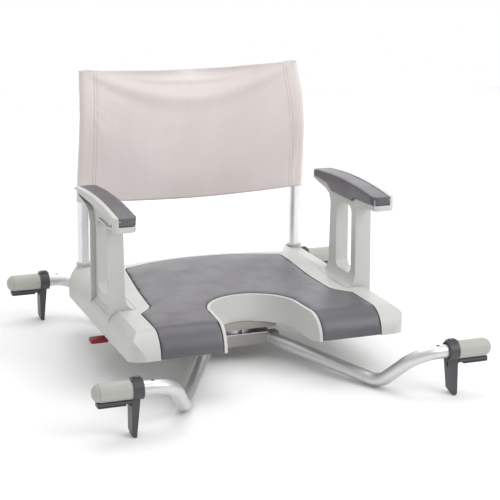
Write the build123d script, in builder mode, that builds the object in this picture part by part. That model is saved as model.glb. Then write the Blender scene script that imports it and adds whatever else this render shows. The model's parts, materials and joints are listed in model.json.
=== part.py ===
"""Swivelling bath seat that rests across the two rims of a bath.

Frame: +Z up, the sitter faces -Y, +X is to the right seen from the front.
The origin is on the swivel axis, level with the tips of the rim hooks.
Millimetres.
"""
from build123d import *
import math
import os

os.makedirs("parts", exist_ok=True)

# ---------------------------------------------------------------- dimensions
REACH = 600.0                        # of a cutting extrusion, longer than the seat is wide
RUN_FIT = 0.08                       # radial clearance of a running fit

# arm tubes
TUBE_R = 12.5
TUBE_WALL = 2.0
ARM_INNER = (57.0, -31.0, 41.5)      # inside the crossbar end
ARM_LOW = (187.0, -279.0, 12.4)      # corner of the low bend
ARM_HIGH = (228.0, -352.6, 83.5)     # corner of the high bend
ARM_END_X = 328.0
BEND_LOW = 50.0
BEND_HIGH = 58.0
HOLE_R = 3.6
HOLE_DEPTH = 4.0
HOLE_PITCH = 27.5

# screws
SCREW_R = 2.5
SCREW_HOLE_R = 2.6
SCREW_HEAD_R = 4.6
SCREW_HEAD_T = 1.8
HEAD_GAP = 0.1
BASE_SCREW_PITCH = 90.0
BASE_SCREW_LEN = 8.0
SEAT_SCREW_PITCH = (110.0, 64.0)
SEAT_SCREW_END_Z = 92.0

# rim end fittings
RING_X = 292.5
RIM_Y = 352.6
AXIS_Z = 83.5
RING_R = 18.0
RING_LEN = 19.0
MOUTH_R = 14.3                       # bell mouth of the ring, clears the bend of the arm
MOUTH_LEN = 13.5
SLEEVE_R = 16.6
SLEEVE_END_X = 358.0
SADDLE_TOP_Z = 68.0                  # of the flat cut under the sleeve and the cap
DOME_END_X = 369.5
DOME_STEP = 0.6                      # of the cap's edge, below the sleeve's surface
CAP_PLUG_LEN = 2.0
BOSS_TOP_Z = 103.0
BOSS_LEN = 20.0
BOSS_WIDTH = 17.0
BUTTON_LEN = 13.0
BUTTON_WIDTH = 9.0
BUTTON_GAP = 0.4
BUTTON_TRAVEL = 3.5
BUTTON_PROUD = 2.4
BUTTON_STOP_GAP = 0.3
POCKET_Z = 98.0                      # floor of the button's pocket
PEG_R = 3.2
PEG_GAP = 0.1
RIM_PAD_Z = 61.0                     # middle of the rubber strip
RIM_PAD_T = 3.0
RIM_PAD_WIDTH = 21.0
RIM_PAD_X0 = 312.6
RIM_PAD_X1 = 361.6
SHELF_TOP_Z = 67.9
LEG_OUTER_X = 303.0
LEG_TOP_INNER_X = 288.0
LEG_TIP_INNER_X = 295.5
LEG_TOP_Z = 70.0
LEG_FRONT_Y = -7.5                   # from the tube axis
LEG_BACK_Y = 21.5
LEG_TOE = 3.0                        # bevel at the leg's tip
LEG_TIP_RISE = 7.0                   # of the tip's rear edge
GUSSET = (8.0, 7.0)                  # under the shelf, out and down
GUSSET_SET_BACK = 6.0
RECESS = (9.0, 5.0, 10.0)            # in the leg's inner face
RECESS_AT = (7.0, 56.0)

# base frame
BAR_HALF_X = 79.0
BAR_FRONT_Y = 50.0
BAR_DEPTH = 24.0
BAR_WALL = 3.0
BAR_Z0 = 30.0
BAR_Z1 = 52.0
PLATE_T = 3.0
PLATE_HALF_X = 62.0
PLATE_HALF_Y = 49.0
INDEX_R = 46.0
INDEX_T = 7.5
NOTCH_W = 9.0
NOTCH_DEPTH = 7.0
NOTCH_COUNT = 4

# pivot
PIVOT_R = 8.0
PIVOT_TOP_Z = 90.0
HEX_R = 14.0
HEX_T = 6.0
BUSH_R = 12.0
BUSH_FLANGE_R = 18.0
BUSH_FLANGE_T = 1.2
WASHER_R = 17.0
WASHER_T = 2.0
WASHER_Z0 = 79.3
UPPER_Z0 = 64.0
UPPER_HALF_X = 75.0
UPPER_HALF_Y = 50.0

# seat
SHELL_Z0 = 78.0
SEAT_HALF_X = 265.0
SEAT_TOP_Z = 133.0
SEAT_REAR_Z = 146.5
SEAT_FRONT_Y = -231.0
ROLL_R = 46.0                        # of the rolled front edge
FRONT_LIFT = 6.0                     # of the bottom edge at the front
FRONT_TUCK = 40.0                    # length of the slope under the front edge
CORNER_R = 34.0                      # of the front corners, in plan
REAR_CORNER = 24.0                   # bevel of the rear corners, in plan
EDGE_R = 36.0                        # of the rounded sides
SIDE_TOP_Z = 136.0
CROWN_X = 190.0                      # where the sides begin to fall
SHELL_DROP = 1.5                     # of the shell, below the pad
SHELL_SET_BACK = 1.0
PAD_T = 10.0
PAD_FRONT_T = 8.0
CUT_R = 82.0                         # of the shell's cut-out
CUT_Y = -125.0
CUT_FRONT_HALF = 91.0                # half width at the front end
CUT_END_Y = -262.0
CUT_LIP = 6.0                        # of the shell, bare round the pad
PAD_FOOT_GAP = 1.0                   # of the shell, bare below the pad
HOLLOW_WALL = 10.0
HOLLOW_TOP_Z = 114.0
HOLLOW_DROP = 17.0
HOLLOW_SET_BACK = 14.0
BLOCK_H = 90.0                       # taller than the seat
PIVOT_ROOM_R = 20.0

# backrest sockets and posts
POST_X = 230.0
POST_Y = 251.0
POST_W = 24.0
POST_D = 18.0
POST_WALL = 2.0
POST_STRAIGHT_Z = 160.0
POST_TOP_Z = 531.0
SOCKET_TOP_Z = 141.0
SOCKET_FLOOR_Z = 88.0
SOCKET_GAP = 0.3
SOCKET_WALL = 3.0
SOCKET_BASE = 4.0
COLLAR_T = 2.0
COLLAR_GROW = 4.5

# armrests
FOOT_X = 210.0
FOOT_Y0 = -66.0
FOOT_Y1 = 70.0
FOOT_R = 8.0                         # of the foot's inner corners
FOOT_SEAM = 0.6                      # open joint round the foot
FOOT_ROOM = (44.0, 4.0)              # hollow of the foot: height, wall in Y
FLARE_Z = (128.0, 132.0, 142.0, 164.0)
PAD_SPLIT_X = 262.0
PAD_X0 = 227.0
PAD_FLOOR_Z = 317.0
NOSE_Z0 = 298.0                      # of the armrest's front end
NOSE_LEN = 11.0
PAD_NOSE_Z = 309.0
PAD_NOSE_LEN = 7.0
RIM_T = 5.0                          # of the thin outer rim, which follows the crown
RIM_WALL = 4.0                       # under the pad's outer edge
RIM_SEAT = 2.5                       # of the wall, under the rim
RIM_EDGE_R = 4.0
FLANGE_TOP_Z = 320.0
ARM_Y0 = -62.0
ARM_Y1 = 60.0
WEB_X0 = 231.0
WEB_X1 = 253.0
FLANGE_X = 263.0                     # outer edge of the web's flanges
FLANGE_T = 4.0
SLOT_Y0 = -43.0
SLOT_Y1 = 31.0
SLOT_Z0 = 151.0
SLOT_Z1 = 287.0
SLOT_R = 15.0
SLOT_LIP = 3.0                       # raised rim round the slot
REST_X0 = 229.0
REST_X1 = 272.0
REST_HALF_Y = 149.0
REST_CORNER_R = 12.0
REST_END_Z = 325.0
REST_MID_Z = 334.0
BOLT_Y = (-30.0, 34.0)
BOLT_Z = 96.0
BOLT_R = 2.9
BOLT_HOLE_R = 3.0
BOLT_LEN = 14.0
BOLT_HEAD_R = 6.0
BOLT_HEAD_T = 4.0

# fabric back
BACK_Z0 = 271.0
BACK_Z1 = 534.0
FABRIC_T = 1.8
FABRIC_GAP = 0.3
SLING_SAG = 14.0
SLING_HALF_T = 1.5

# swivel lock
LEVER_Z0 = 56.5
LEVER_Z1 = 61.5
LEVER_W = 14.0
LEVER_NOSE_X = -46.6
LEVER_NOSE_W = 8.0
LEVER_NOSE_LEN = 14.0
LEVER_SHOULDER = 3.0
LEVER_ROOT_X = -250.0
LEVER_TANG = 18.0                    # of the bar, inside the grip
GRIP_TIP_X = -284.0
GRIP_W = 22.0
GRIP_T = 9.0
GUIDE_GAP = 0.4
GUIDE_W = 26.0
OUTER_GUIDE_X = -192.0
OUTER_GUIDE_LEN = 14.0
OUTER_GUIDE_Z0 = 54.4
INNER_GUIDE_X = -68.0
INNER_GUIDE_LEN = 10.0
INNER_GUIDE_Z0 = 55.6


def save(part, name):
    """Label a finished part and write its STEP file."""
    part.label = name
    export_step(part, f"parts/{name}.step")


def mirrored(part, about):
    """Copy of a part on the other side of a plane."""
    return Part() + mirror(part, about=about)


def save_pair(part, name):
    """Write a right-hand part and its left-hand mirror image."""
    save(part, f"{name}_right")
    save(mirrored(part, Plane.YZ), f"{name}_left")


# ---------------------------------------------------------------- base frame
bar_mid_y = BAR_FRONT_Y - BAR_DEPTH / 2
bar_mid_z = (BAR_Z0 + BAR_Z1) / 2
bar_height = BAR_Z1 - BAR_Z0
index_z = BAR_Z1 + PLATE_T

with BuildPart() as crossbar_front:
    with BuildSketch(Plane.YZ.offset(-BAR_HALF_X)):
        with Locations((-bar_mid_y, bar_mid_z)):
            RectangleRounded(BAR_DEPTH, bar_height, BAR_WALL)
            Rectangle(BAR_DEPTH - 2 * BAR_WALL, bar_height - 2 * BAR_WALL, mode=Mode.SUBTRACT)
    extrude(amount=2 * BAR_HALF_X)
    with Locations((0, -bar_mid_y, BAR_Z1)):
        with GridLocations(BASE_SCREW_PITCH, 0, 2, 1):
            Hole(SCREW_HOLE_R, depth=BAR_WALL + 2)
save(crossbar_front.part, "crossbar_front")
save(mirrored(crossbar_front.part, Plane.XZ), "crossbar_rear")

with BuildPart() as pivot_plate:
    with BuildSketch(Plane.XY.offset(BAR_Z1)):
        RectangleRounded(2 * PLATE_HALF_X, 2 * PLATE_HALF_Y, 8)
        Circle(PIVOT_R, mode=Mode.SUBTRACT)
        with GridLocations(BASE_SCREW_PITCH, 2 * bar_mid_y, 2, 2):
            Circle(SCREW_HOLE_R, mode=Mode.SUBTRACT)
    extrude(amount=PLATE_T)
    with BuildSketch(Plane.XY.offset(index_z)):
        with GridLocations(BASE_SCREW_PITCH, 2 * bar_mid_y, 2, 2):
            Circle(SCREW_HEAD_R + HEAD_GAP)
    extrude(amount=-SCREW_HEAD_T, mode=Mode.SUBTRACT)
save(pivot_plate.part, "pivot_plate")

with BuildPart() as plate_screws:
    for radius, length in ((SCREW_HEAD_R, SCREW_HEAD_T), (SCREW_R, BASE_SCREW_LEN)):
        with BuildSketch(Plane.XY.offset(index_z)):
            with GridLocations(BASE_SCREW_PITCH, 2 * bar_mid_y, 2, 2):
                Circle(radius)
        extrude(amount=-length)
save(plate_screws.part, "plate_screws")

with BuildPart() as index_ring:
    with BuildSketch(Plane.XY.offset(index_z)):
        Circle(INDEX_R)
        Circle(PIVOT_R, mode=Mode.SUBTRACT)
        with PolarLocations(INDEX_R - NOTCH_DEPTH / 2 + 1, NOTCH_COUNT):
            Rectangle(NOTCH_DEPTH + 2, NOTCH_W, mode=Mode.SUBTRACT)
    extrude(amount=INDEX_T)
save(index_ring.part, "index_ring")

with BuildPart() as pivot_pin:
    with BuildSketch(Plane.XY.offset(BAR_Z1 - HEX_T)):
        RegularPolygon(HEX_R, 6)
    extrude(amount=HEX_T)
    with BuildSketch(Plane.XY.offset(BAR_Z1)):
        Circle(PIVOT_R)
    extrude(amount=PIVOT_TOP_Z - BAR_Z1)
    chamfer(pivot_pin.edges().group_by(Axis.Z)[-1], 1)
save(pivot_pin.part, "pivot_pin")

with BuildPart() as pivot_washer:
    with BuildSketch(Plane.XY.offset(WASHER_Z0)):
        Circle(WASHER_R)
        Circle(PIVOT_R, mode=Mode.SUBTRACT)
    extrude(amount=WASHER_T)
save(pivot_washer.part, "pivot_washer")

with BuildPart() as pivot_nut:
    with BuildSketch(Plane.XY.offset(WASHER_Z0 + WASHER_T)):
        RegularPolygon(HEX_R, 6)
        Circle(PIVOT_R, mode=Mode.SUBTRACT)
    extrude(amount=HEX_T)
save(pivot_nut.part, "pivot_nut")

# ---------------------------------------------------------------- arm tubes
arm_corners = [Vector(*ARM_INNER), Vector(*ARM_LOW), Vector(*ARM_HIGH),
               Vector(ARM_END_X, ARM_HIGH[1], ARM_HIGH[2])]


def bend_points(before, corner, after, radius):
    """Start, middle and end of the arc that rounds one corner of a path."""
    back = (before - corner).normalized()
    ahead = (after - corner).normalized()
    half = math.radians(back.get_angle(ahead)) / 2
    bisector = (back + ahead).normalized()
    run = radius / math.tan(half)
    centre = corner + bisector * (radius / math.sin(half))
    return corner + back * run, centre - bisector * radius, corner + ahead * run


low_bend = bend_points(arm_corners[0], arm_corners[1], arm_corners[2], BEND_LOW)
high_bend = bend_points(arm_corners[1], arm_corners[2], arm_corners[3], BEND_HIGH)

with BuildPart() as arm_front_right:
    with BuildLine() as arm_path:
        Line(arm_corners[0], low_bend[0])
        ThreePointArc(*low_bend)
        Line(low_bend[2], high_bend[0])
        ThreePointArc(*high_bend)
        Line(high_bend[2], arm_corners[3])
    with BuildSketch(Plane(origin=arm_corners[0], z_dir=arm_corners[1] - arm_corners[0])):
        Circle(TUBE_R)
        Circle(TUBE_R - TUBE_WALL, mode=Mode.SUBTRACT)
    sweep(path=arm_path.line)
    # the inner end is cut to the crossbar, which it is welded to
    with Locations((0, -bar_mid_y, bar_mid_z)):
        Box(2 * BAR_HALF_X, BAR_DEPTH, 2 * bar_height, mode=Mode.SUBTRACT)
    with Locations((0, -bar_mid_y + BAR_DEPTH, bar_mid_z)):
        Box(2 * BAR_HALF_X, 1.2 * BAR_DEPTH, 4 * bar_height, mode=Mode.SUBTRACT)
    with Locations((RING_X, -RIM_Y, AXIS_Z + TUBE_R)):
        with Locations((-HOLE_PITCH, 0), (0, 0), (HOLE_PITCH, 0)):
            Cylinder(HOLE_R, 2 * HOLE_DEPTH, mode=Mode.SUBTRACT)
save_pair(arm_front_right.part, "arm_front")
save_pair(mirrored(arm_front_right.part, Plane.XZ), "arm_rear")

# ---------------------------------------------------------------- rim end fittings
sleeve_x0 = RING_X + RING_LEN / 2
bore_r = TUBE_R + RUN_FIT
saddle_height = 2 * (SADDLE_TOP_Z - RIM_PAD_Z)

with BuildPart() as rim_sleeve:
    with BuildSketch(Plane.YZ.offset(sleeve_x0)):
        with Locations((0, AXIS_Z)):
            Circle(SLEEVE_R)
            Circle(bore_r, mode=Mode.SUBTRACT)
    extrude(amount=SLEEVE_END_X - sleeve_x0)
    with Locations(((sleeve_x0 + SLEEVE_END_X) / 2, 0, RIM_PAD_Z)):
        Box(SLEEVE_END_X - sleeve_x0, RIM_PAD_WIDTH, saddle_height, mode=Mode.SUBTRACT)

dome_depth = DOME_END_X - SLEEVE_END_X
dome_edge = (SLEEVE_END_X, AXIS_Z + SLEEVE_R - DOME_STEP)
dome_shoulder = (SLEEVE_END_X + 0.72 * dome_depth, AXIS_Z + 0.68 * SLEEVE_R)
with BuildPart() as end_cap:
    with BuildSketch(Plane.XZ):
        with BuildLine():
            Line((SLEEVE_END_X, AXIS_Z), dome_edge)
            ThreePointArc(dome_edge, dome_shoulder, (DOME_END_X, AXIS_Z))
            Line((DOME_END_X, AXIS_Z), (SLEEVE_END_X, AXIS_Z))
        make_face()
    revolve(axis=Axis((0, 0, AXIS_Z), (1, 0, 0)))
    with BuildSketch(Plane.YZ.offset(SLEEVE_END_X)):
        with Locations((0, AXIS_Z)):
            Circle(bore_r - 0.2)
    extrude(amount=-CAP_PLUG_LEN)
    with Locations((SLEEVE_END_X, 0, RIM_PAD_Z)):
        Box(2 * dome_depth, RIM_PAD_WIDTH, saddle_height, mode=Mode.SUBTRACT)

shelf_z = RIM_PAD_Z + RIM_PAD_T / 2
leg_depth = LEG_BACK_Y - LEG_FRONT_Y
pocket_top_z = BOSS_TOP_Z + 4
with BuildPart() as rim_hook:
    with BuildSketch(Plane.YZ.offset(RING_X - RING_LEN / 2)):
        with Locations((0, AXIS_Z)):
            Circle(RING_R)
    extrude(amount=RING_LEN)
    with BuildSketch(Plane.XY.offset(AXIS_Z)):
        with Locations((RING_X + 0.5, 0)):
            RectangleRounded(BOSS_LEN, BOSS_WIDTH, 2.5)
    extrude(amount=BOSS_TOP_Z - AXIS_Z)
    fillet(rim_hook.faces().sort_by(Axis.Z)[-1].edges(), 1.2)
    # leg that stands inside the bath
    with BuildSketch(Plane.XZ.offset(-LEG_BACK_Y)):
        with BuildLine():
            Polyline((LEG_OUTER_X, LEG_TOP_Z), (LEG_OUTER_X, LEG_TOE), (LEG_OUTER_X - LEG_TOE, 0),
                     (LEG_TIP_INNER_X, 0), (LEG_TOP_INNER_X, LEG_TOP_Z), close=True)
        make_face()
    extrude(amount=leg_depth)
    with BuildSketch(Plane.YZ.offset(LEG_TOP_INNER_X - 5)):
        with BuildLine():
            Polyline((LEG_FRONT_Y + 5, 0), (LEG_BACK_Y, 0), (LEG_BACK_Y, LEG_TIP_RISE), close=True)
        make_face()
    extrude(amount=30, mode=Mode.SUBTRACT)
    # shelf over the rubber strip, and its gusset
    with BuildSketch(Plane.XY.offset(shelf_z)):
        with Locations(((LEG_OUTER_X + SLEEVE_END_X) / 2 + 2, 0)):
            RectangleRounded(SLEEVE_END_X - LEG_OUTER_X + 4, RIM_PAD_WIDTH - 1, 3)
    extrude(amount=SHELF_TOP_Z - shelf_z)
    with BuildSketch(Plane.XZ.offset(-LEG_BACK_Y)):
        with BuildLine():
            Polyline((LEG_OUTER_X, shelf_z), (LEG_OUTER_X, RIM_PAD_Z - GUSSET[1]),
                     (LEG_OUTER_X + GUSSET[0], shelf_z), close=True)
        make_face()
    extrude(amount=leg_depth - GUSSET_SET_BACK)
    # bore with its bell mouth, button pocket and recess
    with BuildSketch(Plane.YZ.offset(RING_X - RING_LEN)):
        with Locations((0, AXIS_Z)):
            Circle(bore_r)
    extrude(amount=2 * RING_LEN, mode=Mode.SUBTRACT)
    with Locations((RING_X - RING_LEN / 2 + MOUTH_LEN / 2, 0, AXIS_Z)):
        Cone(MOUTH_R, bore_r, MOUTH_LEN, rotation=(0, 90, 0), mode=Mode.SUBTRACT)
    with Locations((RING_X, 0, (POCKET_Z + pocket_top_z) / 2)):
        Box(BUTTON_LEN + 2 * BUTTON_GAP, BUTTON_WIDTH + 2 * BUTTON_GAP, pocket_top_z - POCKET_Z,
            mode=Mode.SUBTRACT)
    with Locations((RING_X, 0, POCKET_Z - 2)):
        Cylinder(PEG_R + PEG_GAP, 12, mode=Mode.SUBTRACT)
    with Locations((LEG_TOP_INNER_X, *RECESS_AT)):
        Box(*RECESS, mode=Mode.SUBTRACT)
    add(rim_sleeve.part, mode=Mode.SUBTRACT)

with BuildPart() as rim_pad:
    with BuildSketch(Plane.XY.offset(RIM_PAD_Z - RIM_PAD_T / 2)):
        with Locations(((RIM_PAD_X0 + RIM_PAD_X1) / 2, 0)):
            RectangleRounded(RIM_PAD_X1 - RIM_PAD_X0, RIM_PAD_WIDTH, 3)
    extrude(amount=RIM_PAD_T)
    fillet(rim_pad.edges().group_by(Axis.Z)[0], 0.8)

button_z0 = POCKET_Z + BUTTON_TRAVEL + BUTTON_STOP_GAP
peg_tip_z = AXIS_Z + TUBE_R + BUTTON_STOP_GAP
with BuildPart() as lock_button:
    with BuildSketch(Plane.XY.offset(button_z0)):
        with Locations((RING_X, 0)):
            RectangleRounded(BUTTON_LEN, BUTTON_WIDTH, 2.5)
    extrude(amount=BOSS_TOP_Z + BUTTON_PROUD - button_z0)
    fillet(lock_button.edges().group_by(Axis.Z)[-1], 0.9)
    with BuildSketch(Plane.XY.offset(button_z0)):
        with Locations((RING_X, 0)):
            Circle(PEG_R)
    extrude(amount=peg_tip_z - button_z0)

fittings = {"rim_sleeve": rim_sleeve, "end_cap": end_cap, "rim_hook": rim_hook,
            "rim_pad": rim_pad, "lock_button": lock_button}
for end_name, end_y in (("front", -RIM_Y), ("rear", RIM_Y)):
    for base_name, fitting in fittings.items():
        save_pair(Pos(0, end_y, 0) * fitting.part, f"{base_name}_{end_name}")

# ---------------------------------------------------------------- swivel head
with BuildPart() as upper_plate:
    with BuildSketch(Plane.XY.offset(UPPER_Z0)):
        RectangleRounded(2 * UPPER_HALF_X, 2 * UPPER_HALF_Y, 6)
        Circle(BUSH_R, mode=Mode.SUBTRACT)
        with GridLocations(*SEAT_SCREW_PITCH, 2, 2):
            Circle(SCREW_HOLE_R, mode=Mode.SUBTRACT)
    extrude(amount=SHELL_Z0 - UPPER_Z0)
save(upper_plate.part, "upper_plate")

with BuildPart() as pivot_bush:
    with BuildSketch(Plane.XY.offset(UPPER_Z0 - BUSH_FLANGE_T)):
        Circle(BUSH_FLANGE_R)
        Circle(PIVOT_R + RUN_FIT, mode=Mode.SUBTRACT)
    extrude(amount=BUSH_FLANGE_T)
    with BuildSketch(Plane.XY.offset(UPPER_Z0)):
        Circle(BUSH_R)
        Circle(PIVOT_R + RUN_FIT, mode=Mode.SUBTRACT)
    extrude(amount=SHELL_Z0 + 1 - UPPER_Z0)
save(pivot_bush.part, "pivot_bush")

with BuildPart() as seat_screws:
    for radius, length in ((SCREW_HEAD_R, -SCREW_HEAD_T), (SCREW_R, SEAT_SCREW_END_Z - UPPER_Z0)):
        with BuildSketch(Plane.XY.offset(UPPER_Z0)):
            with GridLocations(*SEAT_SCREW_PITCH, 2, 2):
                Circle(radius)
        extrude(amount=length)
save(seat_screws.part, "seat_screws")

# ---------------------------------------------------------------- seat outlines
shell_rear = [(SEAT_HALF_X, 240), (SEAT_HALF_X - REAR_CORNER, 264), (213, 264), (196, 222), (178, 188)]
pad_side = [(213, -250), (211, -97), (203, -88), (187, -68), (182, -56), (171, 124), (168, 160)]


def flipped(points):
    """Points of the left side, in reverse order, from those of the right side."""
    return [(-x, y) for x, y in reversed(points)]


def seat_profile(drop, set_back, lift=-1.0):
    """Side outline (Y, Z) of the seat, lowered by drop, with its front face set back.

    The bottom edge of the front face is lift above the shell's underside.
    """
    top = SEAT_TOP_Z - drop
    rear_top = SEAT_REAR_Z - drop
    face = SEAT_FRONT_Y + set_back
    r = ROLL_R - max(drop, set_back)
    arc_gap = r * (1 - math.cos(math.pi / 4))
    with BuildSketch(Plane.YZ.offset(-REACH / 2)) as outline:
        with BuildLine():
            Polyline((face + FRONT_TUCK, SHELL_Z0 - 1), (face, SHELL_Z0 + lift), (face, top - r))
            ThreePointArc((face, top - r), (face + arc_gap, top - arc_gap), (face + r, top))
            Line((face + r, top), (-40, top))
            Spline((-40, top), (60, top + 3.6), (150, rear_top - 1.4), (225, rear_top),
                   tangents=[(1, 0), (1, 0)])
            Polyline((225, rear_top), (290, rear_top), (290, SHELL_Z0 - 1),
                     (face + FRONT_TUCK, SHELL_Z0 - 1))
        make_face()
    return outline.sketch


def edge_profile():
    """Front outline (X, Z) of the seat with its rounded side edges."""
    crown_z = SEAT_REAR_Z + 0.5
    edge_gap = EDGE_R * (1 - math.cos(math.pi / 4))
    shoulder_x = SEAT_HALF_X - EDGE_R
    with BuildSketch(Plane.XZ.offset(-REACH / 2)) as outline:
        with BuildLine():
            Line((-CROWN_X, crown_z), (CROWN_X, crown_z))
            for side in (-1, 1):
                Spline((side * CROWN_X, crown_z), (side * shoulder_x, SIDE_TOP_Z),
                       tangents=[(side, 0), (side, 0)])
                ThreePointArc((side * shoulder_x, SIDE_TOP_Z),
                              (side * (SEAT_HALF_X - edge_gap), SIDE_TOP_Z - edge_gap),
                              (side * SEAT_HALF_X, SIDE_TOP_Z - EDGE_R))
                Line((side * SEAT_HALF_X, SIDE_TOP_Z - EDGE_R), (side * SEAT_HALF_X, SHELL_Z0 - 10))
            Line((-SEAT_HALF_X, SHELL_Z0 - 10), (SEAT_HALF_X, SHELL_Z0 - 10))
        make_face()
    return outline.sketch


def cut_plan(grow):
    """Plan of the hygiene cut-out, grown by grow all round."""
    half = CUT_R + grow
    front_half = CUT_FRONT_HALF + grow
    with BuildSketch(Plane.XY.offset(SHELL_Z0 - 20)) as plan:
        with Locations((0, CUT_Y)):
            Circle(half)
        with BuildLine():
            Polyline((half, CUT_Y), (front_half, CUT_END_Y), (-front_half, CUT_END_Y),
                     (-half, CUT_Y), close=True)
        make_face()
    return plan.sketch


with BuildSketch() as shell_plan:
    with BuildLine():
        Polyline((SEAT_HALF_X, SEAT_FRONT_Y + CORNER_R), *shell_rear)
        ThreePointArc((178, 188), (0, 219), (-178, 188))
        Polyline(*flipped(shell_rear), (-SEAT_HALF_X, SEAT_FRONT_Y + CORNER_R))
        RadiusArc((-SEAT_HALF_X, SEAT_FRONT_Y + CORNER_R), (-SEAT_HALF_X + CORNER_R, SEAT_FRONT_Y),
                  -CORNER_R)
        Line((-SEAT_HALF_X + CORNER_R, SEAT_FRONT_Y), (SEAT_HALF_X - CORNER_R, SEAT_FRONT_Y))
        RadiusArc((SEAT_HALF_X - CORNER_R, SEAT_FRONT_Y), (SEAT_HALF_X, SEAT_FRONT_Y + CORNER_R),
                  -CORNER_R)
    make_face()

with BuildSketch() as pad_plan:
    with BuildLine():
        Polyline(*pad_side)
        ThreePointArc((168, 160), (163, 172), (150, 178))
        ThreePointArc((150, 178), (0, 211), (-150, 178))
        ThreePointArc((-150, 178), (-163, 172), (-168, 160))
        Polyline(*flipped(pad_side), pad_side[0])
    make_face()

# ---------------------------------------------------------------- seat pad, sockets and shell
with BuildPart() as shell_block:
    with BuildSketch(Plane.XY.offset(SHELL_Z0)):
        add(shell_plan.sketch)
    extrude(amount=BLOCK_H)
    extrude(seat_profile(SHELL_DROP, SHELL_SET_BACK, FRONT_LIFT), amount=REACH, dir=(1, 0, 0),
            mode=Mode.INTERSECT)
    extrude(edge_profile(), amount=REACH, dir=(0, -1, 0), mode=Mode.INTERSECT)

with BuildPart() as seat_pad:
    with BuildSketch(Plane.XY.offset(SHELL_Z0 + PAD_FOOT_GAP)):
        add(pad_plan.sketch)
    extrude(amount=BLOCK_H)
    extrude(seat_profile(0.0, 0.0, FRONT_LIFT), amount=REACH, dir=(1, 0, 0), mode=Mode.INTERSECT)
    extrude(seat_profile(PAD_T, PAD_FRONT_T), amount=REACH, dir=(1, 0, 0), mode=Mode.SUBTRACT)
    extrude(cut_plan(CUT_LIP), amount=REACH, dir=(0, 0, 1), mode=Mode.SUBTRACT)
save(seat_pad.part, "seat_pad")

with BuildPart() as back_socket:
    with BuildSketch(Plane.XY.offset(SOCKET_FLOOR_Z - SOCKET_BASE)):
        with Locations((POST_X, POST_Y)):
            SlotOverall(POST_W + 2 * SOCKET_WALL, POST_D + 2 * SOCKET_WALL)
    extrude(amount=SOCKET_TOP_Z - SOCKET_FLOOR_Z + SOCKET_BASE)
    with BuildSketch(Plane.XY.offset(SOCKET_TOP_Z)):
        with Locations((POST_X, POST_Y)):
            SlotOverall(POST_W + 2 * COLLAR_GROW, POST_D + 2 * COLLAR_GROW)
    extrude(amount=COLLAR_T)
    with BuildSketch(Plane.XY.offset(SOCKET_FLOOR_Z)):
        with Locations((POST_X, POST_Y)):
            SlotOverall(POST_W + 2 * SOCKET_GAP, POST_D + 2 * SOCKET_GAP)
    extrude(amount=80, mode=Mode.SUBTRACT)
save_pair(back_socket.part, "back_socket")

foot_mid_y = (FOOT_Y0 + FOOT_Y1) / 2
foot_len = FOOT_Y1 - FOOT_Y0
foot_width = SEAT_HALF_X - FOOT_X

with BuildPart() as shell_hollow:
    with BuildSketch(Plane.XY.offset(SHELL_Z0 - 1)):
        offset(shell_plan.sketch, amount=-HOLLOW_WALL)
        add(Pos(0, 0, 20) * cut_plan(CUT_LIP), mode=Mode.SUBTRACT)
        # solid bosses: pivot, posts, armrest feet and lock guide
        with Locations((0, 15)):
            Rectangle(160, 100, mode=Mode.SUBTRACT)
        with Locations((-POST_X, POST_Y - 4), (POST_X, POST_Y - 4)):
            Rectangle(46, 42, mode=Mode.SUBTRACT)
        with Locations((-SEAT_HALF_X, foot_mid_y), (SEAT_HALF_X, foot_mid_y)):
            Rectangle(2 * (foot_width + 6), foot_len + 12, mode=Mode.SUBTRACT)
        with Locations((OUTER_GUIDE_X, 0)):
            Rectangle(OUTER_GUIDE_LEN + 12, GUIDE_W + 2, mode=Mode.SUBTRACT)
    extrude(amount=HOLLOW_TOP_Z - SHELL_Z0 + 1)
    extrude(seat_profile(HOLLOW_DROP, HOLLOW_SET_BACK), amount=REACH, dir=(1, 0, 0),
            mode=Mode.INTERSECT)

with BuildPart() as seat_shell:
    add(shell_block.part)
    add(seat_pad.part, mode=Mode.SUBTRACT)
    extrude(cut_plan(0.0), amount=REACH, dir=(0, 0, 1), mode=Mode.SUBTRACT)
    add(shell_hollow.part, mode=Mode.SUBTRACT)
    with BuildSketch(Plane.XY.offset(SHELL_Z0 - 20)):
        with Locations((-SEAT_HALF_X, foot_mid_y), (SEAT_HALF_X, foot_mid_y)):
            RectangleRounded(2 * (foot_width + FOOT_SEAM), foot_len + 2 * FOOT_SEAM,
                             FOOT_R + FOOT_SEAM)
    extrude(amount=100, mode=Mode.SUBTRACT)
    add(back_socket.part, mode=Mode.SUBTRACT)
    add(mirrored(back_socket.part, Plane.YZ), mode=Mode.SUBTRACT)
    with BuildSketch(Plane.XY.offset(SOCKET_FLOOR_Z)):
        with Locations((-POST_X, POST_Y), (POST_X, POST_Y)):
            SlotOverall(POST_W + 2 * SOCKET_WALL - 1, POST_D + 2 * SOCKET_WALL - 1)
    extrude(amount=80, mode=Mode.SUBTRACT)
    with BuildSketch(Plane.XY.offset(SHELL_Z0)):
        Circle(PIVOT_ROOM_R)
    extrude(amount=SEAT_SCREW_END_Z - SHELL_Z0, mode=Mode.SUBTRACT)
    with BuildSketch(Plane.XY.offset(SHELL_Z0)):
        with GridLocations(*SEAT_SCREW_PITCH, 2, 2):
            Circle(SCREW_HOLE_R)
    extrude(amount=SEAT_SCREW_END_Z - SHELL_Z0 + 1, mode=Mode.SUBTRACT)
    with Locations(*[(side * (FOOT_X - 3), y, BOLT_Z) for side in (-1, 1) for y in BOLT_Y]):
        Cylinder(BOLT_HOLE_R, 8, rotation=(0, 90, 0), mode=Mode.SUBTRACT)
save(seat_shell.part, "seat_shell")

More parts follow.
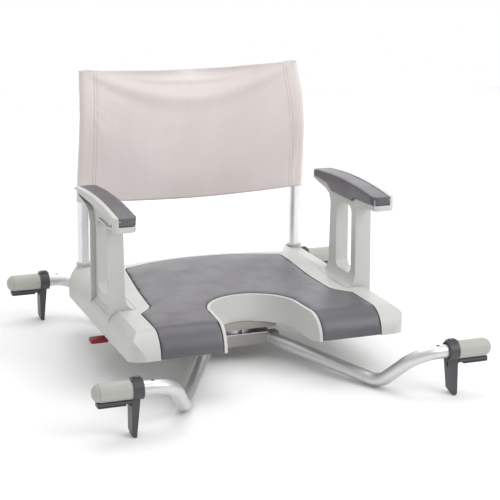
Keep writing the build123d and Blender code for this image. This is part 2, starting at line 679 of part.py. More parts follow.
# ---------------------------------------------------------------- armrest outlines
under_points = [(ARM_Y0, 289), (-REST_HALF_Y + 2, NOSE_Z0 + 3), (-REST_HALF_Y + 2, FLANGE_TOP_Z),
                (REST_HALF_Y, FLANGE_TOP_Z), (REST_HALF_Y, 307), (114, 301), (88, 298), (68, 290),
                (ARM_Y1, 274)]
side_points = [(FOOT_Y0, SHELL_Z0)] + under_points + [(FOOT_Y1, SHELL_Z0)]
skirt_points = [(-REST_HALF_Y, PAD_NOSE_Z), (-58, 305), (-50, 298), (52, 298), (76, 309),
                (REST_HALF_Y, 312), (REST_HALF_Y, REST_END_Z - 1), (-REST_HALF_Y, REST_END_Z - 1)]
pad_width = REST_X1 - PAD_X0
pad_mid_x = (PAD_X0 + REST_X1) / 2
slot_mid = ((SLOT_Y0 + SLOT_Y1) / 2, (SLOT_Z0 + SLOT_Z1) / 2)
slot_size = (SLOT_Y1 - SLOT_Y0, SLOT_Z1 - SLOT_Z0)
rest_width = REST_X1 - REST_X0
rest_len = 2 * REST_HALF_Y


def side_outline(points, x, shrink=0.0):
    """Closed side outline (Y, Z) on the plane X = x."""
    with BuildSketch(Plane.YZ.offset(x)) as outline:
        with BuildLine():
            Polyline(*points, close=True)
        make_face()
        if shrink:
            offset(amount=-shrink, mode=Mode.REPLACE)
    return outline.sketch


def crown(x, low_z):
    """Side outline of the armrest's crowned top on the plane X = x, longer than the armrest."""
    rise = REST_MID_Z - REST_END_Z
    crown_r = (REST_HALF_Y ** 2 + rise ** 2) / (2 * rise)
    end = REST_HALF_Y + 10
    end_z = REST_MID_Z - crown_r + math.sqrt(crown_r ** 2 - end ** 2)
    with BuildSketch(Plane.YZ.offset(x)) as outline:
        with BuildLine():
            ThreePointArc((-end, end_z), (0, REST_MID_Z), (end, end_z))
            Polyline((end, end_z), (end, low_z), (-end, low_z), (-end, end_z))
        make_face()
    return outline.sketch


# ---------------------------------------------------------------- arm pads
with BuildPart() as arm_pad:
    with BuildSketch(Plane.XY.offset(PAD_FLOOR_Z - 3)):
        with Locations((pad_mid_x, 0)):
            RectangleRounded(pad_width, rest_len, REST_CORNER_R)
    extrude(amount=40)
    extrude(crown(PAD_X0 - 1, NOSE_Z0), amount=REST_X1, dir=(1, 0, 0), mode=Mode.INTERSECT)
    with Locations((PAD_X0 + 30, 0, PAD_FLOOR_Z - 20)):
        Box(80, 2 * rest_len, 40, mode=Mode.SUBTRACT)
    with Locations((PAD_SPLIT_X + 20, 0, PAD_FLOOR_Z)):
        Box(40, 2 * rest_len, 80, mode=Mode.SUBTRACT)
    extrude(Pos(0, 0, -RIM_T) * crown(PAD_SPLIT_X - RIM_WALL, NOSE_Z0), amount=2 * RIM_WALL,
            dir=(1, 0, 0), mode=Mode.SUBTRACT)
    # turned-down front end and inner skirt
    with Locations(((WEB_X0 + PAD_SPLIT_X) / 2, -REST_HALF_Y + PAD_NOSE_LEN / 2,
                    (PAD_NOSE_Z + PAD_FLOOR_Z + 2) / 2)):
        Box(PAD_SPLIT_X - WEB_X0, PAD_NOSE_LEN, PAD_FLOOR_Z + 2 - PAD_NOSE_Z)
    extrude(side_outline(skirt_points, PAD_X0), amount=WEB_X0 - PAD_X0, dir=(1, 0, 0))
    with BuildSketch(Plane.XY.offset(NOSE_Z0 - 10)):
        with Locations((pad_mid_x, 0)):
            RectangleRounded(pad_width, rest_len, REST_CORNER_R)
    extrude(amount=60, mode=Mode.INTERSECT)
save_pair(arm_pad.part, "arm_pad")

# ---------------------------------------------------------------- armrests
with BuildSketch(Plane.XY.offset(NOSE_Z0)) as rest_plan:
    with Locations(((REST_X0 + REST_X1) / 2, 0)):
        RectangleRounded(rest_width, rest_len, REST_CORNER_R)

with BuildPart() as rim_channel:
    extrude(Pos(0, 0, -RIM_T) * crown(PAD_SPLIT_X + RIM_SEAT, NOSE_Z0 - 10), amount=REST_X1 - WEB_X0,
            dir=(1, 0, 0))
    with Locations((PAD_SPLIT_X, 2 * NOSE_LEN, PAD_FLOOR_Z)):
        Box(2 * rest_width, rest_len, 80, mode=Mode.INTERSECT)

with BuildPart() as armrest_top:
    extrude(rest_plan.sketch, amount=REST_MID_Z - NOSE_Z0 + 1, dir=(0, 0, 1))
    extrude(crown(REST_X0 - 1, PAD_FLOOR_Z - 4), amount=REST_X1, dir=(1, 0, 0), mode=Mode.INTERSECT)
    rim_edges = armrest_top.edges().filter_by(lambda e: e.center().X > REST_X1 - 1).sort_by(Axis.Z)
    fillet(rim_edges[-1], RIM_EDGE_R)
    add(rim_channel.part, mode=Mode.SUBTRACT)

# rounded lip under the pad's front end, and the end of the rim above it
with BuildPart() as armrest_nose:
    extrude(rest_plan.sketch, amount=REST_END_Z - NOSE_Z0, dir=(0, 0, 1))
    with Locations((0, -REST_HALF_Y, 0)):
        Box(3 * REST_X1, 2 * NOSE_LEN, 3 * REST_X1, mode=Mode.INTERSECT)
    with Locations((PAD_SPLIT_X - rest_width, -REST_HALF_Y, PAD_NOSE_Z + 20)):
        Box(2 * rest_width, 4 * NOSE_LEN, 40, mode=Mode.SUBTRACT)
    fillet(armrest_nose.edges().group_by(Axis.Z)[0], 2)

flare_low, flare_start, flare_mid, flare_top = FLARE_Z
with BuildPart() as armrest_foot:
    with BuildSketch(Plane.XY.offset(SHELL_Z0)):
        with Locations((SEAT_HALF_X, foot_mid_y)):
            RectangleRounded(2 * foot_width, foot_len, FOOT_R)
    extrude(amount=BLOCK_H)
    extrude(edge_profile(), amount=REACH, dir=(0, -1, 0), mode=Mode.INTERSECT)
    extrude(seat_profile(SHELL_DROP, SHELL_SET_BACK), amount=REACH, dir=(1, 0, 0),
            mode=Mode.INTERSECT)
    with Locations(((FOOT_X + SEAT_HALF_X) / 2 - 1, foot_mid_y, SHELL_Z0 + 20)):
        Box(foot_width - 10, foot_len - 2 * FOOT_ROOM[1], FOOT_ROOM[0], mode=Mode.SUBTRACT)
    with Locations(*[(FOOT_X + 3, y, BOLT_Z) for y in BOLT_Y]):
        Cylinder(BOLT_HOLE_R, 12, rotation=(0, 90, 0), mode=Mode.SUBTRACT)

with BuildPart() as armrest_flare:
    with BuildSketch(Plane.XZ.offset(-FOOT_Y1)):
        with BuildLine():
            Polyline((WEB_X1, flare_low), (FOOT_X + 3, flare_low), (FOOT_X + 3, flare_start))
            Spline((FOOT_X + 3, flare_start), (WEB_X0 - 4, flare_mid), (WEB_X0, flare_top),
                   tangents=[(1, 0), (0, 1)])
            Polyline((WEB_X0, flare_top), (WEB_X1, flare_top), (WEB_X1, flare_low))
        make_face()
    extrude(amount=foot_len, dir=(0, -1, 0))
    extrude(side_outline(side_points, FOOT_X), amount=foot_width, dir=(1, 0, 0), mode=Mode.INTERSECT)

with BuildPart() as armrest:
    extrude(side_outline(side_points, WEB_X0), amount=FLANGE_X - WEB_X0, dir=(1, 0, 0))
    extrude(side_outline(side_points, WEB_X1, FLANGE_T), amount=REACH, dir=(1, 0, 0),
            mode=Mode.SUBTRACT)
    with BuildSketch(Plane.YZ.offset(WEB_X0)):
        with Locations(slot_mid):
            RectangleRounded(slot_size[0] + 2 * SLOT_LIP, slot_size[1] + 2 * SLOT_LIP, SLOT_R + SLOT_LIP)
    extrude(amount=WEB_X1 + 4 - WEB_X0)
    with Locations(((FOOT_X + SEAT_HALF_X) / 2, foot_mid_y, SHELL_Z0 + 20)):
        Box(foot_width, foot_len - 2 * FOOT_ROOM[1], FOOT_ROOM[0], mode=Mode.SUBTRACT)
    for piece in (armrest_top, armrest_nose, armrest_foot, armrest_flare):
        add(piece.part)
    with BuildSketch(Plane.YZ.offset(FOOT_X)):
        with Locations(slot_mid):
            RectangleRounded(*slot_size, SLOT_R)
    extrude(amount=60, mode=Mode.SUBTRACT)
    add(arm_pad.part, mode=Mode.SUBTRACT)
save_pair(armrest.part, "armrest")

with BuildPart() as armrest_bolts:
    for side in (-1, 1):
        with Locations(*[(side * (FOOT_X - 1), y, BOLT_Z) for y in BOLT_Y]):
            Cylinder(BOLT_R, BOLT_LEN, rotation=(0, 90, 0))
        with Locations(*[(side * (FOOT_X - 8), y, BOLT_Z) for y in BOLT_Y]):
            Cylinder(BOLT_HEAD_R, BOLT_HEAD_T, rotation=(0, 90, 0))
save(armrest_bolts.part, "armrest_bolts")

# ---------------------------------------------------------------- backrest
# centre of the right post at each height (Z, X, Y)
post_course = [(POST_STRAIGHT_Z, POST_X, POST_Y), (200, 229.8, 250), (260, 229.2, 246),
               (350, 227, 233), (405, 225, 225), (450, 222.5, 225), (490, 219.5, 234),
               (POST_TOP_Z, 216, 247)]


def post_body(grow, top_z):
    """Right post as an oval loft, grown by grow all round, up to top_z."""
    with BuildPart() as body:
        for height, x, y in post_course:
            with BuildSketch(Plane.XY.offset(height if height < POST_TOP_Z else top_z)):
                with Locations((x, y)):
                    SlotOverall(POST_W + 2 * grow, POST_D + 2 * grow)
        loft()
    return body.part


post_z0 = SOCKET_FLOOR_Z + 0.5
with BuildPart() as back_post:
    with BuildSketch(Plane.XY.offset(post_z0)):
        with Locations((POST_X, POST_Y)):
            SlotOverall(POST_W, POST_D)
    extrude(amount=POST_STRAIGHT_Z - post_z0)
    add(post_body(0.0, POST_TOP_Z))
    with BuildSketch(Plane.XY.offset(post_z0 - 1)):
        with Locations((POST_X, POST_Y)):
            SlotOverall(POST_W - 2 * POST_WALL, POST_D - 2 * POST_WALL)
    extrude(amount=POST_STRAIGHT_Z - post_z0 + 1, mode=Mode.SUBTRACT)
    add(post_body(-POST_WALL, POST_TOP_Z), mode=Mode.SUBTRACT)
save_pair(back_post.part, "back_post")

sling_half_t = POST_D / 2 - 1
with BuildPart() as back_sling:
    for height, x, y in post_course[2:]:
        inner_x = x - POST_W / 2 - FABRIC_GAP - FABRIC_T / 2
        front_y = y - sling_half_t
        rear_y = y + sling_half_t
        sag_y = y + SLING_SAG
        with BuildSketch(Plane.XY.offset(height if height < POST_TOP_Z else BACK_Z1)):
            with BuildLine():
                ThreePointArc((-inner_x, front_y), (0, sag_y - SLING_HALF_T), (inner_x, front_y))
                Line((inner_x, front_y), (inner_x, rear_y))
                ThreePointArc((inner_x, rear_y), (0, sag_y + SLING_HALF_T), (-inner_x, rear_y))
                Line((-inner_x, rear_y), (-inner_x, front_y))
            make_face()
    loft()
    pocket = post_body(FABRIC_GAP + FABRIC_T, BACK_Z1)
    bore = post_body(FABRIC_GAP, POST_TOP_Z + 0.5)
    add(pocket)
    add(mirrored(pocket, Plane.YZ))
    add(bore, mode=Mode.SUBTRACT)
    add(mirrored(bore, Plane.YZ), mode=Mode.SUBTRACT)
    with Locations((0, POST_Y, BACK_Z0 - 100)):
        Box(REACH, 200, 200, mode=Mode.SUBTRACT)
save(back_sling.part, "back_sling")

# ---------------------------------------------------------------- swivel lock
lever_mid_z = (LEVER_Z0 + LEVER_Z1) / 2
lever_t = LEVER_Z1 - LEVER_Z0
nose_back_x = LEVER_NOSE_X - LEVER_NOSE_LEN
lever_side = [(LEVER_NOSE_X, LEVER_NOSE_W / 2), (nose_back_x, LEVER_NOSE_W / 2),
              (nose_back_x - LEVER_SHOULDER, LEVER_W / 2), (LEVER_ROOT_X - LEVER_TANG, LEVER_W / 2)]
with BuildPart() as lock_bar:
    with BuildSketch(Plane.XY.offset(LEVER_Z0)):
        with BuildLine():
            Polyline(*lever_side, *[(x, -y) for x, y in reversed(lever_side)], close=True)
        make_face()
    extrude(amount=lever_t)
save(lock_bar.part, "lock_bar")

with BuildPart() as lock_grip:
    with BuildSketch(Plane.XY.offset(lever_mid_z - GRIP_T / 2)):
        with Locations(((LEVER_ROOT_X + GRIP_TIP_X) / 2, 0)):
            RectangleRounded(LEVER_ROOT_X - GRIP_TIP_X, GRIP_W, 5)
    extrude(amount=GRIP_T)
    fillet(lock_grip.edges().group_by(Axis.Z)[0] + lock_grip.edges().group_by(Axis.Z)[-1], 2)
    with Locations((LEVER_ROOT_X - LEVER_TANG + 14, 0, lever_mid_z)):
        Box(28, LEVER_W, lever_t, mode=Mode.SUBTRACT)
save(lock_grip.part, "lock_grip")

with BuildPart() as lock_guides:
    for guide_x, guide_len, z0, z1 in ((OUTER_GUIDE_X, OUTER_GUIDE_LEN, OUTER_GUIDE_Z0, SHELL_Z0),
                                       (INNER_GUIDE_X, INNER_GUIDE_LEN, INNER_GUIDE_Z0, UPPER_Z0)):
        with Locations((guide_x, 0, (z0 + z1) / 2)):
            Box(guide_len, GUIDE_W, z1 - z0)
    with Locations(((OUTER_GUIDE_X + INNER_GUIDE_X) / 2, 0, lever_mid_z)):
        Box(160, LEVER_W + 2 * GUIDE_GAP, lever_t + 2 * GUIDE_GAP, mode=Mode.SUBTRACT)
save(lock_guides.part, "lock_guides")
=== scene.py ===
"""Looks for the swivelling bath seat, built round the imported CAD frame. Metres, in the CAD's own frame."""
import json
import math

import bmesh
import bpy
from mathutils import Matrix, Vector
from mathutils.bvhtree import BVHTree


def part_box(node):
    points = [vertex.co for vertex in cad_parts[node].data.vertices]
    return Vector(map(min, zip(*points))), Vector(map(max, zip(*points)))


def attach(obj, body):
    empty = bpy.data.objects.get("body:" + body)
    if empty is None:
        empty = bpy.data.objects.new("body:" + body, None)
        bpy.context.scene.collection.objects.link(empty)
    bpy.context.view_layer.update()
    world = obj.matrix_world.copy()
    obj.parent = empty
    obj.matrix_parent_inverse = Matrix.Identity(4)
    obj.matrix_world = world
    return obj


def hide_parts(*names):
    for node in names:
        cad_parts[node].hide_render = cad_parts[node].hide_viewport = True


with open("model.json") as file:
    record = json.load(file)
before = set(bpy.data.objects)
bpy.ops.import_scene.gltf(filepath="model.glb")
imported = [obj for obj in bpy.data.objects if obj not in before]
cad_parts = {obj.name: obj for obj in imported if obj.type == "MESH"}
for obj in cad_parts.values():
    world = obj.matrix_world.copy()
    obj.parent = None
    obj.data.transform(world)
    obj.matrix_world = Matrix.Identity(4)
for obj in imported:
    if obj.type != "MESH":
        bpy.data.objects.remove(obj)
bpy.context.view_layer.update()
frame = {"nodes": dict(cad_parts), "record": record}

scene = bpy.context.scene


# ---------------------------------------------------------------- camera
CAMERA_PLACE = (-0.92036, -2.60772, 0.92738)      # solved from the photo's perspective
CAMERA_TILT = 75.45                               # degrees up from looking straight down
CAMERA_TURN = -20.17                              # degrees about Z
CAMERA_LENS = 107.1                               # millimetres, on the sensor's width
SENSOR_WIDTH = 36

camera = bpy.data.objects.new("camera", bpy.data.cameras.new("camera"))
scene.collection.objects.link(camera)
camera.location = CAMERA_PLACE
camera.rotation_euler = (math.radians(CAMERA_TILT), 0, math.radians(CAMERA_TURN))
camera.data.lens = CAMERA_LENS
camera.data.sensor_width = SENSOR_WIDTH
scene.camera = camera
scene.view_settings.view_transform = "Standard"


# ---------------------------------------------------------------- light
BACKDROP_STRENGTH = 1.0           # what the camera sees behind the object
HORIZON_STRENGTH = 0.62           # what lights the object, level with it
ZENITH_STRENGTH = 1.05            # and from SKY_TOP upwards
SKY_TOP = 0.8                     # as the height of a unit direction
LIGHTS = (                        # name, place, point aimed at, size, power in watts
    ("key", (1.7, -2.0, 2.0), (0, 0, 0.2), 1.8, 34),
    ("top", (0.3, 0.6, 2.8), (0, 0, 0.1), 2.2, 22),
    ("behind", (0.9, 3.2, 1.5), (0, 0, 0.2), 2.4, 24),
)


def studio_world():
    """White backdrop, and a soft sky that is brighter overhead than at the horizon."""
    world = bpy.data.worlds.new("studio")
    world.use_nodes = True
    nodes = world.node_tree.nodes
    links = world.node_tree.links
    backdrop = nodes["Background"]
    backdrop.inputs["Color"].default_value = (1, 1, 1, 1)
    backdrop.inputs["Strength"].default_value = BACKDROP_STRENGTH
    sky = nodes.new("ShaderNodeBackground")
    coord = nodes.new("ShaderNodeTexCoord")
    split = nodes.new("ShaderNodeSeparateXYZ")
    links.new(coord.outputs["Generated"], split.inputs["Vector"])
    height = nodes.new("ShaderNodeMapRange")
    links.new(split.outputs["Z"], height.inputs["Value"])
    height.inputs["From Min"].default_value = 0.0
    height.inputs["From Max"].default_value = SKY_TOP
    height.inputs["To Min"].default_value = HORIZON_STRENGTH
    height.inputs["To Max"].default_value = ZENITH_STRENGTH
    links.new(height.outputs["Result"], sky.inputs["Strength"])
    seen = nodes.new("ShaderNodeLightPath")
    choice = nodes.new("ShaderNodeMixShader")
    links.new(seen.outputs["Is Camera Ray"], choice.inputs["Fac"])
    links.new(sky.outputs["Background"], choice.inputs[1])
    links.new(backdrop.outputs["Background"], choice.inputs[2])
    links.new(choice.outputs["Shader"], nodes["World Output"].inputs["Surface"])
    scene.world = world


def area_light(name, place, target, size, power):
    """Square soft light aimed at a point."""
    data = bpy.data.lights.new(name, "AREA")
    data.size = size
    data.energy = power
    light = bpy.data.objects.new(name, data)
    scene.collection.objects.link(light)
    light.location = place
    light.rotation_euler = (Vector(target) - Vector(place)).to_track_quat("-Z", "Y").to_euler()
    light.visible_camera = False


studio_world()
for light_row in LIGHTS:
    area_light(*light_row)


# ---------------------------------------------------------------- materials
NOISE_LOW, NOISE_HIGH = 0.3, 0.7  # where most of a noise texture's values lie
CREVICE_SHADE_REACH = 0.022             # how far a surface looks for a neighbour that darkens it with painted shade
CREVICE_SHADE_OPEN = 0.7                # openness from which it isn't darkened by the painted shade
PLASTIC_TONE_SCALE = 9            # a noise's scale is about its number of cells in a metre
PLASTIC_SHEEN_SCALE = 26
SPECK_SHARE = 0.12                # most of the dark colour that a speck mixes in
METAL_SHEEN_SCALE = 14
METAL_CREVICE_SHADE = 0.3               # most that painted shade darkens metal in a crevice
METAL_EDGE = 0.0006               # radius that the light sees on a metal edge
DRAWN_LINE_SCALE = 60
DRAWN_LINE_DEPTH = 0.00002
YARN_SCALE = 330                  # of the wave texture: a yarn about every millimetre
SLUB_SCALE = 120
CLOUD_SCALE = 5
WEAVE_DEPTH = 0.00025


class Nodes:
    """Shorthand for building one material's node tree."""

    def __init__(self, name):
        self.material = bpy.data.materials.new(name)
        self.material.use_nodes = True
        self.tree = self.material.node_tree
        self.shader = self.tree.nodes["Principled BSDF"]
        self.coord = self.tree.nodes.new("ShaderNodeTexCoord").outputs["Object"]

    def add(self, kind, **settings):
        """New node with its settings."""
        node = self.tree.nodes.new(kind)
        for key, value in settings.items():
            setattr(node, key, value)
        return node

    def link(self, output, socket):
        """Join an output to an input socket."""
        self.tree.links.new(output, socket)

    def feed(self, value, socket):
        """Give a socket an output, a colour or a number."""
        if hasattr(value, "links"):
            self.link(value, socket)
        elif isinstance(value, tuple):
            socket.default_value = (*value, 1)
        else:
            socket.default_value = value

    def scaled(self, scale):
        """Object coordinates stretched by a scale on each axis."""
        node = self.add("ShaderNodeMapping")
        node.inputs["Scale"].default_value = scale
        self.link(self.coord, node.inputs["Vector"])
        return node.outputs["Vector"]

    def noise(self, scale, detail=3, vector=None):
        """Soft noise over object coordinates, or over another vector."""
        node = self.add("ShaderNodeTexNoise")
        node.inputs["Scale"].default_value = scale
        node.inputs["Detail"].default_value = detail
        self.link(vector or self.coord, node.inputs["Vector"])
        return node.outputs["Fac"]

    def span(self, value, low, high, from_low=NOISE_LOW, from_high=NOISE_HIGH):
        """A value spread from one range to another, and held at the ends."""
        node = self.add("ShaderNodeMapRange")
        self.link(value, node.inputs["Value"])
        node.inputs["From Min"].default_value = from_low
        node.inputs["From Max"].default_value = from_high
        node.inputs["To Min"].default_value = low
        node.inputs["To Max"].default_value = high
        return node.outputs["Result"]

    def mix(self, factor, first, second, blend="MIX"):
        """Two colours, each a tuple or an output, mixed by a factor."""
        node = self.add("ShaderNodeMix", data_type="RGBA", blend_type=blend)
        self.feed(factor, node.inputs["Factor"])
        sockets = [s for s in node.inputs if s.type == "RGBA"]
        for value, socket in zip((first, second), sockets):
            self.feed(value, socket)
        return next(s for s in node.outputs if s.type == "RGBA")

    def painted_crevice_shade(self, colour, depth):
        """A colour darkened by painted shade where surfaces meet and in recesses."""
        nearness = self.add("ShaderNodeAmbientOcclusion", samples=6)
        nearness.inputs["Distance"].default_value = CREVICE_SHADE_REACH
        dark = self.span(nearness.outputs["AO"], 1 - depth, 1.0, 0.0, CREVICE_SHADE_OPEN)
        return self.mix(1.0, colour, self.grey(dark), "MULTIPLY")

    def grey(self, value):
        """A number as a grey colour."""
        node = self.add("ShaderNodeCombineColor")
        for socket in ("Red", "Green", "Blue"):
            self.link(value, node.inputs[socket])
        return node.outputs["Color"]

    def relief(self, height, distance, strength=1.0, edge=0.0):
        """Bump from a height, over edges rounded by the edge radius."""
        bump = self.add("ShaderNodeBump")
        bump.inputs["Distance"].default_value = distance
        bump.inputs["Strength"].default_value = strength
        self.link(height, bump.inputs["Height"])
        if edge:
            bevel = self.add("ShaderNodeBevel", samples=4)
            bevel.inputs["Radius"].default_value = edge
            self.link(bevel.outputs["Normal"], bump.inputs["Normal"])
        self.link(bump.outputs["Normal"], self.shader.inputs["Normal"])


def moulded(name, light, dark, rough, grain=1400, depth=0.00006, edge=0.0012, crevice_shade_depth=0.35, specular=0.5):
    """Moulded plastic: fine spark-eroded grain, slow tone change, painted shade in the joints and recesses.
    """
    n = Nodes(name)
    tone = n.mix(n.span(n.noise(PLASTIC_TONE_SCALE, 4), 0, 1), light, dark)
    speck = n.mix(n.span(n.noise(grain / 2, 2), 0, SPECK_SHARE), tone, dark)
    # painted shade darkens the colour in joints and recesses
    n.link(n.painted_crevice_shade(speck, crevice_shade_depth), n.shader.inputs["Base Color"])
    n.link(n.span(n.noise(PLASTIC_SHEEN_SCALE, 4), rough - 0.05, rough + 0.06), n.shader.inputs["Roughness"])
    n.shader.inputs["Specular IOR Level"].default_value = specular
    n.relief(n.noise(grain, 3), depth, 1.0, edge)
    return n.material


def metal(name, light, dark, rough, stretch):
    """Drawn or ground metal: fine lines and a patchy sheen. stretch scales the lines' noise on each axis."""
    n = Nodes(name)
    lines = n.noise(DRAWN_LINE_SCALE, 4, n.scaled(stretch))
    tone = n.mix(n.span(lines, 0, 1), light, dark)
    # painted shade darkens the metal's colour in its crevices
    n.link(n.painted_crevice_shade(tone, METAL_CREVICE_SHADE), n.shader.inputs["Base Color"])
    n.shader.inputs["Metallic"].default_value = 1.0
    n.link(n.span(n.noise(METAL_SHEEN_SCALE, 4), rough - 0.03, rough + 0.04), n.shader.inputs["Roughness"])
    n.relief(lines, DRAWN_LINE_DEPTH, 0.7, METAL_EDGE)
    return n.material


def woven(name, light, dark):
    """Fine woven cloth: crossing yarns, slubs up its height, cloudy tone, soft sheen."""
    n = Nodes(name)
    yarns = []
    for axis in ("X", "Z"):
        wave = n.add("ShaderNodeTexWave", wave_type="BANDS", bands_direction=axis, wave_profile="SIN")
        wave.inputs["Scale"].default_value = YARN_SCALE
        wave.inputs["Distortion"].default_value = 0.5
        wave.inputs["Detail"].default_value = 1.0
        n.link(n.coord, wave.inputs["Vector"])
        yarns.append(wave.outputs["Fac"])
    weave = n.add("ShaderNodeMath", operation="MULTIPLY")
    n.link(yarns[0], weave.inputs[0])
    n.link(yarns[1], weave.inputs[1])
    clouds = n.noise(CLOUD_SCALE, 3, n.scaled((1.0, 1.0, 0.55)))
    cloudy = n.mix(n.span(clouds, 0, 0.8), light, dark)
    slubs = n.noise(SLUB_SCALE, 3, n.scaled((1.0, 1.0, 0.2)))
    uneven = n.mix(n.span(slubs, 0, 0.22), cloudy, dark)
    gaps = n.span(weave.outputs[0], 0.25, 0.0, 0.0, 0.7)
    n.link(n.mix(gaps, uneven, dark), n.shader.inputs["Base Color"])
    n.shader.inputs["Roughness"].default_value = 0.85
    n.shader.inputs["Sheen Weight"].default_value = 0.3
    n.shader.inputs["Sheen Roughness"].default_value = 0.5
    n.shader.inputs["Specular IOR Level"].default_value = 0.25
    n.relief(weave.outputs[0], WEAVE_DEPTH, 0.8)
    return n.material


# Each plastic's crevice figure sets how much painted shade darkens its joints and recesses.
looks = {
    "aluminium_satin": metal("satin_aluminium", (0.72, 0.72, 0.73), (0.65, 0.65, 0.66), 0.40, (4, 4, 4)),
    "painted_grey": moulded("painted_grey", (0.37, 0.35, 0.33), (0.31, 0.295, 0.275), 0.42,
                            grain=700, depth=0.00004, crevice_shade_depth=0.55),
    "steel": metal("zinc_steel", (0.58, 0.58, 0.60), (0.42, 0.42, 0.44), 0.30, (3, 3, 9)),
    "bush_plastic": moulded("bush_plastic", (0.60, 0.60, 0.56), (0.52, 0.52, 0.48), 0.40),
    "shell_plastic": moulded("shell_plastic", (0.62, 0.62, 0.60), (0.56, 0.56, 0.537), 0.44, crevice_shade_depth=0.5),
    "pad_foam": moulded("pad_foam", (0.105, 0.100, 0.117), (0.088, 0.083, 0.098), 0.42,
                        grain=2200, depth=0.00008, edge=0.0, crevice_shade_depth=0.45, specular=0.75),
    "sleeve_plastic": moulded("sleeve_plastic", (0.47, 0.475, 0.435), (0.41, 0.415, 0.38), 0.48),
    "hook_plastic": moulded("hook_plastic", (0.075, 0.075, 0.085), (0.055, 0.055, 0.062), 0.42),
    "rim_rubber": moulded("rim_rubber", (0.045, 0.045, 0.05), (0.03, 0.03, 0.035), 0.75,
                          grain=900, depth=0.0001),
    "fabric": woven("woven_fabric", (0.89, 0.82, 0.81), (0.72, 0.645, 0.63)),
    "lever_red": moulded("lever_red", (0.33, 0.012, 0.030), (0.24, 0.008, 0.022), 0.34),
}
# The seams' thread looks a little different from the rest of its slot. The upright posts get their own satin
# aluminium with lines up the post, and a much lighter colour that is painted light.
thread = moulded("seam_thread", (0.50, 0.44, 0.43), (0.40, 0.35, 0.34), 0.8,
                 grain=3000, depth=0.00003, edge=0.0)
# lighter base colour than satin_aluminium: painted light on the posts
upright_painted_lighter = metal("satin_aluminium_upright", (0.95, 0.95, 0.96), (0.82, 0.82, 0.84), 0.38, (14, 14, 0.25))
slot_of = {row["node"]: row["material_slot"] for row in frame["record"]["subparts"]}
for node, obj in frame["nodes"].items():
    for place in obj.material_slots:
        place.material = upright_painted_lighter if node.startswith("back_post") else looks[slot_of[node]]


# ---------------------------------------------------------------- mesh helpers
SIM_FRAMES = 20


def piece_from(name, verts, faces, material):
    """Mesh object with one material."""
    mesh = bpy.data.meshes.new(name)
    mesh.from_pydata(verts, [], faces)
    mesh.update()
    mesh.materials.append(material)
    obj = bpy.data.objects.new(name, mesh)
    scene.collection.objects.link(obj)
    return obj


def shade_smooth(obj):
    """Round the shading of every face."""
    for polygon in obj.data.polygons:
        polygon.use_smooth = True


def tree_of(obj):
    """Search tree over an object's faces, for rays."""
    mesh = obj.data
    return BVHTree.FromPolygons([v.co.copy() for v in mesh.vertices],
                                [tuple(p.vertices) for p in mesh.polygons])


def apply_modifiers(obj):
    """Replace an object's mesh by its evaluated mesh and drop the modifiers."""
    graph = bpy.context.evaluated_depsgraph_get()
    mesh = bpy.data.meshes.new_from_object(obj.evaluated_get(graph), depsgraph=graph)
    obj.modifiers.clear()
    obj.data = mesh


def run_cloth(obj, cloth):
    """Step an object's cloth through its frames and keep the result as its mesh."""
    cloth.collision_settings.use_self_collision = False
    cloth.point_cache.frame_start = 1
    cloth.point_cache.frame_end = SIM_FRAMES
    for step in range(1, SIM_FRAMES + 1):
        scene.frame_set(step)
    apply_modifiers(obj)
    scene.frame_set(1)


# ---------------------------------------------------------------- pads
PAD_WELD = 1e-5                   # split vertices closer than this are one
PAD_PRESSURE = 4.0


def welded_copy(node, name, slot):
    """Editable copy of a CAD node's mesh with its split vertices joined."""
    mesh = frame["nodes"][node].data.copy()
    mesh.name = name
    work = bmesh.new()
    work.from_mesh(mesh)
    bmesh.ops.remove_doubles(work, verts=work.verts, dist=PAD_WELD)
    bmesh.ops.recalc_face_normals(work, faces=work.faces)
    work.to_mesh(mesh)
    work.free()
    obj = bpy.data.objects.new(name, mesh)
    scene.collection.objects.link(obj)
    mesh.materials.clear()
    mesh.materials.append(looks[slot])
    return obj


def add_smoothing(obj, rounds):
    """Add a smoothing modifier."""
    modifier = obj.modifiers.new("smooth", "SMOOTH")
    modifier.iterations = rounds
    modifier.factor = 0.5


def swell(obj, cap):
    """Blow a closed mesh up with cloth pressure, and let no vertex move further than the cap."""
    start = [v.co.copy() for v in obj.data.vertices]
    cloth = obj.modifiers.new("cloth", "CLOTH")
    cloth.settings.quality = 4
    cloth.settings.use_pressure = True
    cloth.settings.uniform_pressure_force = PAD_PRESSURE
    cloth.settings.effector_weights.gravity = 0.0
    run_cloth(obj, cloth)
    for vert, old in zip(obj.data.vertices, start):
        move = vert.co - old
        if move.length > cap:
            vert.co = old + move.normalized() * cap


def foam(node, name, voxel, shrink, cap):
    """Foam pad that stands for a CAD pad: remeshed, shrunk a little, swollen and smoothed."""
    obj = welded_copy(node, name, "pad_foam")
    remesh = obj.modifiers.new("remesh", "REMESH")
    remesh.mode = "VOXEL"
    remesh.voxel_size = voxel
    apply_modifiers(obj)
    for vert in obj.data.vertices:
        vert.co -= vert.normal * shrink
    add_smoothing(obj, 2)
    apply_modifiers(obj)
    swell(obj, cap)
    add_smoothing(obj, 1)
    fine = obj.modifiers.new("fine", "SUBSURF")
    fine.levels = 1
    fine.render_levels = 1
    apply_modifiers(obj)
    shade_smooth(obj)
    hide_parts(node)
    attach(obj, "seat")


foam("seat_pad", "seat_cushion", voxel=0.004, shrink=0.0003, cap=0.0008)
for side in ("left", "right"):
    foam(f"arm_pad_{side}", f"arm_cushion_{side}", voxel=0.002, shrink=0.0002, cap=0.0004)


# ---------------------------------------------------------------- fabric back
SHEET_T = 0.0012
ROWS = 66
PANEL_COLUMNS = 110
WRAP_COLUMNS = 26
TRIM = 0.0008                     # the cloth ends this far inside the CAD sling, at the top and bottom
